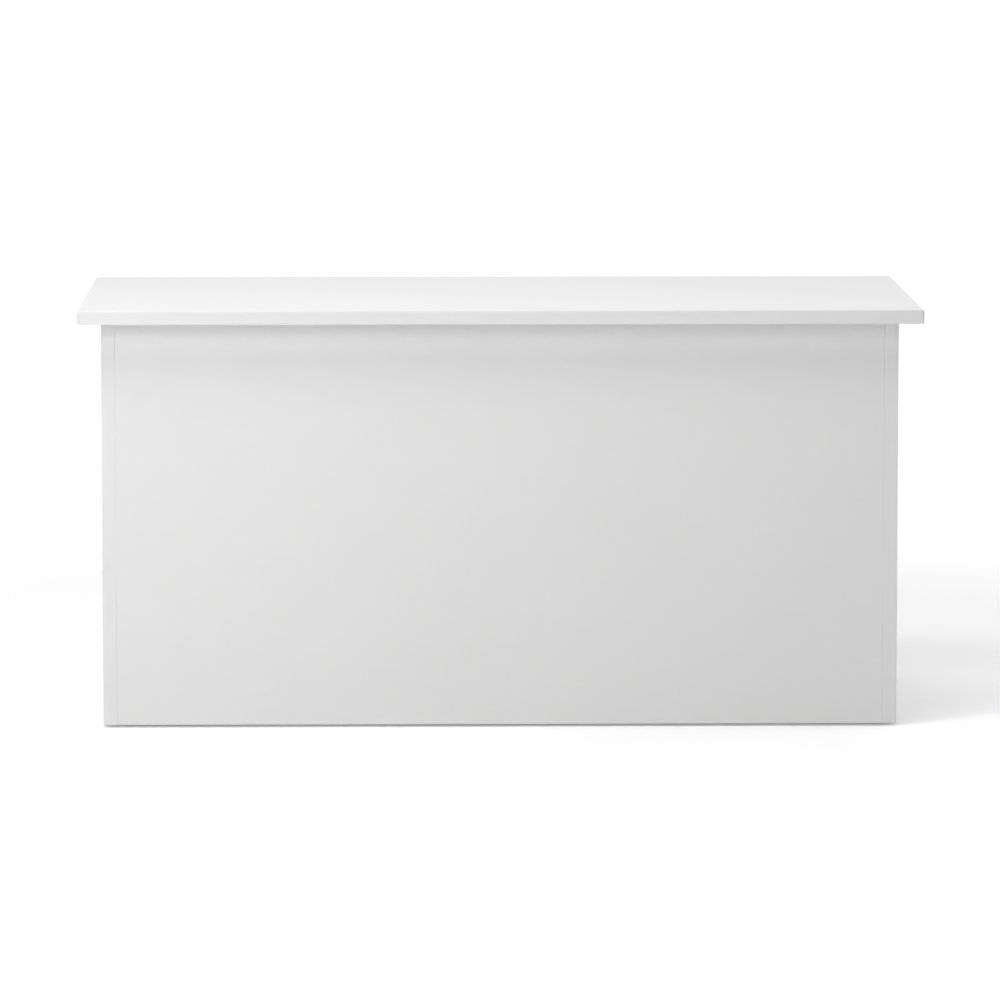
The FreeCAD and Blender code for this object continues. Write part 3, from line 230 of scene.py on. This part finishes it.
white_plastic = moulded_plastic("white_plastic", dark=(0.80, 0.80, 0.79),
                                light=(0.86, 0.86, 0.85), roughness=0.36)
clear_bumper = clear_rubber()

FINISHES = {
    "white_lacquered_board": lacquer_long,
    "beech_dowel": beech_wood,
    "zinc_cam": cast_zinc,
    "plated_fastener": zinc_plate,
    "hinge_steel": nickel,
    "stay_steel": strip_steel,
    "nylon": nylon,
    "white_cap": white_plastic,
    "clear_bumper": clear_bumper,
}
SIDE_BOARDS = ("left_side_panel", "right_side_panel")
slot_of = {part["node"]: part["material_slot"] for part in frame["record"]["subparts"]}
for node, item in frame["nodes"].items():
    finish = lacquer_side if node in SIDE_BOARDS else FINISHES[slot_of[node]]
    for material_slot in item.material_slots:
        material_slot.material = finish


# ---------------------------------------------------------------- places read from the frame

body_of = {node: body for body, nodes in frame["record"]["behaviour"]["bodies"].items()
           for node in nodes}


def solids(node):
    """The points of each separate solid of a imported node, in the order of its own mesh."""
    mesh = bmesh.new()
    mesh.from_mesh(frame["nodes"][node].data)
    bmesh.ops.remove_doubles(mesh, verts=mesh.verts, dist=SAME_POINT)
    waiting = set(mesh.verts)
    found = []
    for first in mesh.verts:
        if first not in waiting:
            continue
        waiting.remove(first)
        island, reached = [], [first]
        while reached:
            vertex = reached.pop()
            island.append(vertex.co.copy())
            for link in vertex.link_edges:
                other = link.other_vert(vertex)
                if other in waiting:
                    waiting.remove(other)
                    reached.append(other)
        found.append(island)
    mesh.free()
    return found


def seat(points):
    """Where a turned solid sits: a matrix whose +Z runs from its thin end to its wide end, with
    the origin in the middle of the wide end's face. The solid lies along the axis across which
    its other two sizes are equal."""
    low = Vector(map(min, zip(*points)))
    high = Vector(map(max, zip(*points)))
    size = high - low
    middle = (low + high) / 2
    along = min(range(3), key=lambda i: abs(size[(i + 1) % 3] - size[(i + 2) % 3]))
    axis = Vector([float(i == along) for i in range(3)])

    def width(side):
        half = [p - middle for p in points if (p - middle).dot(axis) * side > 0]
        return sum((p - axis * p.dot(axis)).length for p in half) / len(half)

    if width(-1) > width(1):
        axis = -axis
    turn = axis.to_track_quat("Z", "X").to_matrix().to_4x4()
    return Matrix.Translation(middle + axis * size[along] / 2) @ turn


# ---------------------------------------------------------------- mesh making

def new_mesh(name, build):
    """A mesh made by a function that fills a bmesh, with its normals facing out."""
    mesh = bmesh.new()
    build(mesh)
    bmesh.ops.recalc_face_normals(mesh, faces=mesh.faces)
    data = bpy.data.meshes.new(name)
    mesh.to_mesh(data)
    mesh.free()
    return data


def lathe(mesh, profile, steps=48, shape=None):
    """A solid of revolution about Z. Its profile is (radius, height) points that start and end on
    the axis. shape(angle, height) gives a change of radius, for flutes and threads."""
    rings = []
    for radius, height in profile:
        if radius == 0:
            rings.append([mesh.verts.new((0, 0, height))])
            continue
        ring = []
        for i in range(steps):
            angle = TAU * i / steps
            reach = radius + (shape(angle, height) if shape else 0.0)
            ring.append(mesh.verts.new((reach * math.cos(angle), reach * math.sin(angle), height)))
        rings.append(ring)
    for lower, upper in zip(rings, rings[1:]):
        for i in range(steps):
            j = (i + 1) % steps
            corners = [lower[i % len(lower)], lower[j % len(lower)],
                       upper[j % len(upper)], upper[i % len(upper)]]
            # The fan at each end meets in one corner, which the four here name twice.
            mesh.faces.new(dict.fromkeys(corners))


def rounded(radius, height, edge, upwards=True, steps=5):
    """Profile points round an outer edge: a quarter circle that ends on a face at the height."""
    points = []
    for i in range(steps + 1):
        turn = math.pi / 2 * i / steps
        rise = edge * math.sin(turn)
        reach = radius - edge * (1 - math.cos(turn))
        points.append((reach, height - edge + rise if upwards else height + edge - rise))
    return points if upwards else points[::-1]


def thread(pitch, depth, start, end, fade):
    """A helical groove between two heights, fading in and out, which leaves a sharp ridge."""
    half_ridge = 0.25

    def shape(angle, height):
        if not start <= height <= end:
            return 0.0
        phase = (height / pitch - angle / TAU) % 1.0
        ridge = max(0.0, 1.0 - abs(phase - 0.5) / half_ridge)
        ends = min(1.0, (height - start) / fade, (end - height) / fade)
        return -depth * ends * (1.0 - ridge)

    return shape


def minus(name, data, tool):
    """The mesh with a tool's shape cut out of it, and no slivers left along the cut."""
    item = bpy.data.objects.new(name, data)
    cutter = bpy.data.objects.new(f"{name}_tool", tool)
    for part in (item, cutter):
        scene.collection.objects.link(part)
    cut = item.modifiers.new("cut", "BOOLEAN")
    cut.operation = "DIFFERENCE"
    cut.solver = "EXACT"
    cut.object = cutter
    graph = bpy.context.evaluated_depsgraph_get()
    result = bpy.data.meshes.new_from_object(item.evaluated_get(graph))
    for part in (item, cutter):
        bpy.data.objects.remove(part)
    mesh = bmesh.new()
    mesh.from_mesh(result)
    bmesh.ops.remove_doubles(mesh, verts=mesh.verts, dist=SLIVER)
    bmesh.ops.dissolve_degenerate(mesh, edges=mesh.edges, dist=SLIVER)
    bmesh.ops.triangulate(mesh, faces=mesh.faces)
    mesh.to_mesh(result)
    mesh.free()
    return result


def finished(name, data, tool=None, smooth_angle=35.0):
    """The mesh, cut by a tool if there is one, and smooth except across sharp edges."""
    if tool is not None:
        data = minus(name, data, tool)
    data.shade_smooth()
    data.set_sharp_from_angle(angle=math.radians(smooth_angle))
    return data


def gathered(name, data, places):
    """One mesh of copies of another, each moved by its own matrix."""
    mesh = bmesh.new()
    for place in places:
        before = len(mesh.verts)
        mesh.from_mesh(data)
        mesh.verts.ensure_lookup_table()
        bmesh.ops.transform(mesh, matrix=place, verts=mesh.verts[before:])
    result = bpy.data.meshes.new(name)
    mesh.to_mesh(result)
    mesh.free()
    return result


def piece(name, data, finish, node):
    """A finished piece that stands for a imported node, rides on its body and takes its slot."""
    item = bpy.data.objects.new(name, data)
    scene.collection.objects.link(item)
    item.data.materials.clear()
    item.data.materials.append(finish)
    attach(item, body_of[node])
    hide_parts(node)


def refit(node, data, finish):
    """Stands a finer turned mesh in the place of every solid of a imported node."""
    places = [seat(points) for points in solids(node)]
    piece(f"{node}_fine", gathered(node, data, places), finish, node)


def extent(node):
    """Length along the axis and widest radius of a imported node's first solid."""
    points = solids(node)[0]
    to_seat = seat(points).inverted()
    local = [to_seat @ point for point in points]
    return -min(p.z for p in local), max(math.hypot(p.x, p.y) for p in local)


# ---------------------------------------------------------------- turned and threaded pieces

RINGS_A_TURN = 8    # rings of a profile in one turn of its thread


def cross_tool(name, reach, width, depth):
    """A tapered plus, for the recess of a cross-head screw: full size just above the head's face,
    and narrower at its own depth."""
    above = 0.3 * MM
    low_reach, low_width = 0.35 * reach, 0.55 * width

    def ring(mesh, arm, half, height):
        corners = [(arm, -half), (arm, half), (half, half)]
        turns = [Matrix.Rotation(i * TAU / 4, 4, "Z") for i in range(4)]
        return [mesh.verts.new(turn @ Vector((x, y, height))) for turn in turns
                for x, y in corners]

    def build(mesh):
        upper = ring(mesh, reach, width, above)
        lower = ring(mesh, low_reach, low_width, -depth)
        mesh.faces.new(upper)
        mesh.faces.new(lower[::-1])
        for i in range(len(upper)):
            j = (i + 1) % len(upper)
            mesh.faces.new((upper[i], lower[i], lower[j], upper[j]))

    return new_mesh(name, build)


def screw_mesh(name, length, head_radius, shank_radius, pitch):
    """A countersunk cross-head wood screw: head face at zero, point at -length."""
    land, plain_shank = 0.15 * MM, 0.8 * MM
    head_height = head_radius - shank_radius
    tip, tip_narrowing, bare_tip = 1.6 * shank_radius, 0.85, 0.3
    thread_depth = 0.28 * shank_radius
    thread_top = -head_height - plain_shank
    profile = [(0.0, 0.0), (head_radius - land, 0.0), (head_radius, -land),
               (shank_radius, -head_height)]
    count = round((length - tip + thread_top) / pitch * RINGS_A_TURN)
    step = (length - tip + thread_top) / count
    profile += [(shank_radius, thread_top - step * i) for i in range(count + 1)]
    taper = max(3, round(tip / pitch * RINGS_A_TURN))
    for i in range(1, taper):
        share = i / taper
        profile.append((shank_radius * (1 - tip_narrowing * share), -length + tip * (1 - share)))
    profile.append((0.0, -length))
    ridge = thread(pitch, thread_depth, -length + bare_tip * tip, thread_top, pitch)
    blank = new_mesh(name, lambda mesh: lathe(mesh, profile, steps=32, shape=ridge))
    cross_reach, cross_width = 0.60 * head_radius, 0.12 * head_radius
    return finished(name, blank, cross_tool(f"{name}_cross", cross_reach, cross_width, head_height))


def bolt_mesh(name, length, head_radius):
    """A cam bolt: round-edged head, thin neck, a plain shaft that starts with a short cone, and a
    coarse thread."""
    neck_radius, shaft_radius, core_radius = 2.0 * MM, 3.0 * MM, 2.45 * MM
    head, neck, cone = 3.5 * MM, 4.0 * MM, 0.6 * MM
    top_edge, under_edge = 1.2 * MM, 1.0 * MM
    thread_length, pitch, thread_depth, fade = 11.0 * MM, 2.0 * MM, 0.5 * MM, 0.7 * MM
    tip, bare_tip, tip_radius = MM, 0.5 * MM, 0.72 * core_radius
    profile = [(0.0, 0.0)] + rounded(head_radius, 0.0, top_edge)[::-1]
    profile += rounded(head_radius, -head, under_edge, upwards=False)[::-1]
    profile += [(neck_radius, -head), (neck_radius, -head - neck),
                (shaft_radius, -head - neck - cone), (shaft_radius, -length + thread_length),
                (core_radius, -length + thread_length)]
    count = round((thread_length - tip) / pitch * RINGS_A_TURN)
    step = (thread_length - tip) / count
    profile += [(core_radius, -length + thread_length - step * i) for i in range(1, count + 1)]
    profile += [(tip_radius, -length), (0.0, -length)]
    ridge = thread(pitch, thread_depth, -length + bare_tip, -length + thread_length, fade)
    blank = new_mesh(name, lambda mesh: lathe(mesh, profile, steps=32, shape=ridge))
    return finished(name, blank)


def nail_mesh(name, length, head_radius):
    """A ring-shank nail with a flat head, eased at its edge."""
    shank, head, head_edge, point = 0.95 * MM, 0.6 * MM, 0.25 * MM, 2.0 * MM
    plain_shank, bare_end = 2.0 * MM, 1.0 * MM
    ring_pitch, groove_radius = 0.7 * MM, 0.88 * shank
    profile = [(0.0, 0.0)] + rounded(head_radius, 0.0, head_edge, steps=3)[::-1]
    profile += [(head_radius, -head), (shank, -head)]
    height = -head - plain_shank
    while height > -length + point + bare_end:
        profile += [(shank, height), (groove_radius, height - ring_pitch / 2)]
        height -= ring_pitch
    profile += [(shank, -length + point), (0.0, -length)]
    return finished(name, new_mesh(name, lambda mesh: lathe(mesh, profile, steps=24)))


def dowel_mesh(name, length, radius):
    """A fluted beech dowel with chamfered ends."""
    chamfer, flutes, flute_depth = 0.8 * MM, 20, 0.28 * MM

    def flute(angle, height):
        return -flute_depth * (0.5 - 0.5 * math.cos(flutes * angle)) ** 2

    profile = [(0.0, 0.0), (radius - chamfer, 0.0), (radius, -chamfer), (radius, -length / 2),
               (radius, -length + chamfer), (radius - chamfer, -length), (0.0, -length)]
    blank = new_mesh(name, lambda mesh: lathe(mesh, profile, steps=160, shape=flute))
    return finished(name, blank, smooth_angle=50.0)


def cap_mesh(name, length, radius):
    """A moulded cover cap: a low dish with a rolled rim, a shallow ring, and a pin."""
    thickness, pin, pin_chamfer, rim = 1.0 * MM, 1.4 * MM, 0.3 * MM, 0.7 * MM
    ring, ring_width, ring_depth = 0.62 * radius, 0.4 * MM, 0.22 * MM
    dish, dish_edge = 0.10 * MM, 0.06 * MM
    profile = [(0.0, -dish), (ring - 2 * ring_width, -dish_edge), (ring - ring_width, -ring_depth),
               (ring, -ring_depth), (ring + ring_width, 0.0)]
    profile += rounded(radius, 0.0, rim)[::-1]
    profile += [(radius, -thickness), (pin, -thickness), (pin, -length + pin_chamfer),
                (pin - pin_chamfer, -length), (0.0, -length)]
    return finished(name, new_mesh(name, lambda mesh: lathe(mesh, profile, steps=72)))


def bumper_mesh(name, length, radius):
    """A soft self-adhesive bumper: a low clear dome with a flat on top and a short foot."""
    flat, dome, fullness, rings = 0.45, 0.72, 2.4, 8
    foot, foot_radius = 0.9 * length, 0.98 * radius
    profile = [(0.0, 0.0)]
    for i in range(1, rings + 1):
        share = i / rings
        profile.append((radius * (flat + (1 - flat) * share), -dome * length * share ** fullness))
    profile += [(radius, -foot), (foot_radius, -length), (0.0, -length)]
    return finished(name, new_mesh(name, lambda mesh: lathe(mesh, profile, steps=64)))


TURNED = (
    (dowel_mesh, beech_wood, ("front_corner_dowels", "back_corner_dowels", "bottom_dowels")),
    (bolt_mesh, zinc_plate, ("front_cam_bolts", "back_cam_bolts", "bottom_cam_bolts")),
    (nail_mesh, zinc_plate, ("glide_nails",)),
    (cap_mesh, white_plastic, ("front_cam_caps", "back_cam_caps")),
    (bumper_mesh, clear_bumper, ("lid_bumpers",)),
)
for make, finish, nodes in TURNED:
    for node in nodes:
        refit(node, make(node, *extent(node)), finish)

HINGE_SHANK, HINGE_PITCH = 1.4 * MM, 1.3 * MM
STAY_SHANK, STAY_PITCH = 1.75 * MM, 1.6 * MM
SCREWS = (
    ("hinge_body_screws", HINGE_SHANK, HINGE_PITCH, nickel),
    ("hinge_lid_screws", HINGE_SHANK, HINGE_PITCH, nickel),
    ("stay_bracket_screws", STAY_SHANK, STAY_PITCH, zinc_plate),
    ("lid_bracket_screws", STAY_SHANK, STAY_PITCH, zinc_plate),
)
for node, shank, pitch, finish in SCREWS:
    length, head_radius = extent(node)
    refit(node, screw_mesh(node, length, head_radius, shank, pitch), finish)


# ---------------------------------------------------------------- softened steel edges

# The pins and rivets are turned, and stay as packed.
SHARP_STEEL = [node for node, slot in slot_of.items() if slot in ("hinge_steel", "stay_steel")
               and "pin" not in node and "rivet" not in node]
for node in SHARP_STEEL:
    edge = frame["nodes"][node].modifiers.new("soft_edges", "BEVEL")
    edge.width = 0.12 * MM
    edge.segments = 2
    edge.limit_method = "ANGLE"
    edge.angle_limit = math.radians(50)


# ---------------------------------------------------------------- studio

scene.view_settings.view_transform = "Standard"
FLOOR_HALF = 60.0                    # half the floor's width, metres
FLOOR_NEAR, FLOOR_FAR = 0.26, 1.0    # glow of the floor beside the box, and far from it
GLOW_START, GLOW_FULL = 0.8, 3.0     # distances between which the glow grows, metres
LIT_SHARE = 0.1                      # share of that glow that lights the box
WALL_LIGHT, WALL_FULL = 0.9, 0.5     # light from behind, full where the direction's Y is this
SURROUND = 0.95                      # white of the surround to the eye


def floor_material():
    """Pale matt floor that fades into an even white away from the box. Most of that white is
    only for the eye, so that the lamps alone shade the box."""
    paint = Paint("pale_floor", Emission_Color=(1, 1, 1, 1))
    distance = paint.nodes.new("ShaderNodeVectorMath")
    distance.operation = "LENGTH"
    paint.links.new(paint.place, distance.inputs[0])
    rays = paint.nodes.new("ShaderNodeLightPath")
    glow = paint.spread(distance.outputs["Value"], FLOOR_NEAR, FLOOR_FAR, GLOW_START, GLOW_FULL)
    glow.node.interpolation_type = "SMOOTHSTEP"
    share = paint.spread(rays.outputs["Is Camera Ray"], LIT_SHARE, 1.0, 0.0, 1.0)
    paint.links.new(paint.multiply(glow, share), paint.shader.inputs["Emission Strength"])
    speck = paint.noise(scale=60.0)
    duller, brighter = (0.89, 0.89, 0.89), (0.91, 0.91, 0.91)
    return paint.set(paint.colours(speck, (0.0, duller), (1.0, brighter)),
                     paint.spread(speck, 0.65, 0.75))


def make_floor():
    corners = [(x * FLOOR_HALF, y * FLOOR_HALF, 0) for x, y in ((-1, -1), (1, -1), (1, 1), (-1, 1))]
    data = bpy.data.meshes.new("floor")
    data.from_pydata(corners, [], [(0, 1, 2, 3)])
    data.materials.append(floor_material())
    floor = bpy.data.objects.new("floor", data)
    scene.collection.objects.link(floor)


def make_world():
    """A pale surround to the eye. Only the half of it behind the box gives light, as a pale wall
    there does, so that the lamps alone shade the front."""
    world = bpy.data.worlds.new("studio")
    scene.world = world
    world.use_nodes = True
    nodes, links = world.node_tree.nodes, world.node_tree.links
    place = nodes.new("ShaderNodeTexCoord")
    split = nodes.new("ShaderNodeSeparateXYZ")
    links.new(place.outputs["Generated"], split.inputs["Vector"])
    wall = nodes.new("ShaderNodeMapRange")
    wall.interpolation_type = "SMOOTHSTEP"
    wall.inputs["From Max"].default_value = WALL_FULL
    wall.inputs["To Max"].default_value = WALL_LIGHT
    links.new(split.outputs["Y"], wall.inputs["Value"])
    rays = nodes.new("ShaderNodeLightPath")
    seen = nodes.new("ShaderNodeMapRange")
    seen.inputs["To Max"].default_value = SURROUND
    links.new(rays.outputs["Is Camera Ray"], seen.inputs["Value"])
    brighter = nodes.new("ShaderNodeMath")
    brighter.operation = "MAXIMUM"
    links.new(wall.outputs["Result"], brighter.inputs[0])
    links.new(seen.outputs["Result"], brighter.inputs[1])
    links.new(brighter.outputs["Value"], nodes["Background"].inputs["Strength"])
    nodes["Background"].inputs["Color"].default_value = (1, 1, 1, 1)


def softbox(name, place, aim, size, watts):
    light = bpy.data.lights.new(name, "AREA")
    light.shape = "SQUARE"
    light.size = size
    light.energy = watts
    item = bpy.data.objects.new(name, light)
    scene.collection.objects.link(item)
    item.location = place
    item.rotation_euler = (Vector(aim) - Vector(place)).to_track_quat("-Z", "Y").to_euler()


make_floor()
make_world()
FRONT_AIM, TOP_AIM, SIDE_AIM = (-0.1, -0.2, 0.25), (0.0, 0.0, 0.4), (0.4, 0.0, 0.3)
softbox("key", (-1.25, -2.8, 1.35), FRONT_AIM, size=0.7, watts=9.0)
softbox("key_side", (-2.2, -2.4, 1.2), FRONT_AIM, size=1.2, watts=15.0)
softbox("key_high", (-2.2, -2.4, 2.0), FRONT_AIM, size=1.0, watts=28.5)
softbox("overhead_front", (0.0, -1.0, 2.3), TOP_AIM, size=0.8, watts=8.5)
softbox("overhead_left", (-1.0, -0.8, 2.3), TOP_AIM, size=0.8, watts=15.5)
softbox("overhead_back", (0.3, 1.6, 2.2), TOP_AIM, size=1.6, watts=5.5)
softbox("fill_right", (2.4, 0.5, 1.3), SIDE_AIM, size=1.2, watts=10.0)

# The camera stands well back with a long lens, above the box and a little to the left.
LOOK_DOWN, LOOK_RIGHT = 6.754, 0.987    # degrees
camera = bpy.data.cameras.new("camera")
camera.sensor_width = 36.0
camera.lens = 218.35
camera.clip_end = 200.0
camera_item = bpy.data.objects.new("camera", camera)
scene.collection.objects.link(camera_item)
camera_item.location = (-0.111, -6.632, 1.0064)
camera_item.rotation_euler = (math.radians(90 - LOOK_DOWN), 0.0, math.radians(-LOOK_RIGHT))
scene.camera = camera_item
